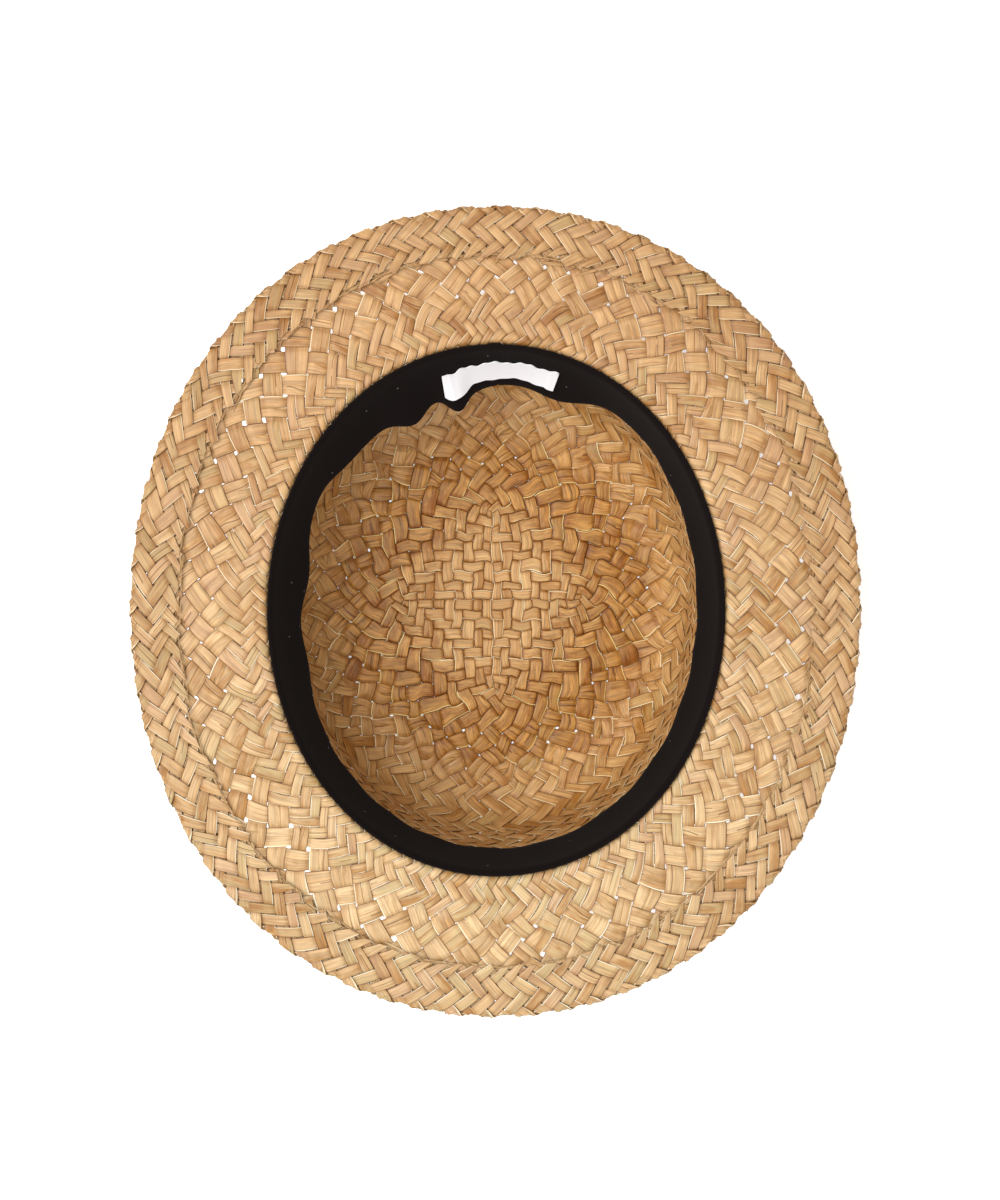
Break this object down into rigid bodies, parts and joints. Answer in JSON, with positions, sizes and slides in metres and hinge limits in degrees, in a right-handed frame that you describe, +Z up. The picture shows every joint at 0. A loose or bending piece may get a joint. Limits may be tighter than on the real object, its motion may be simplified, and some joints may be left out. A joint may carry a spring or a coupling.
{
  "type": "boater hat",
  "caption": "Straw boater hat with a flat oval brim, a turned brim edge, a black cloth sweatband and a bare white label.",
  "frame": {"origin": "on the crown tip's outer face, on which the hat lies with its opening up, under the middle of the brim", "axes": "+Z up out of the opening, +Y to the back of the hat where the sweatband is joined, +X to its side"},
  "size_m": [0.2784, 0.3092, 0.094],
  "materials": {
    "straw": "flat straw strips plaited in twill, dull with a faint sheen",
    "edge_straw": "the same straw strips, folded and pressed",
    "black_cloth": "dull black woven cloth",
    "white_cloth": "smooth white woven tape"
  },
  "bodies": {
    "root": {"crown": "straw", "brim": "straw", "turned_edge": "edge_straw", "sweatband": "black_cloth", "label": "white_cloth"}
  },
  "joints": []
}
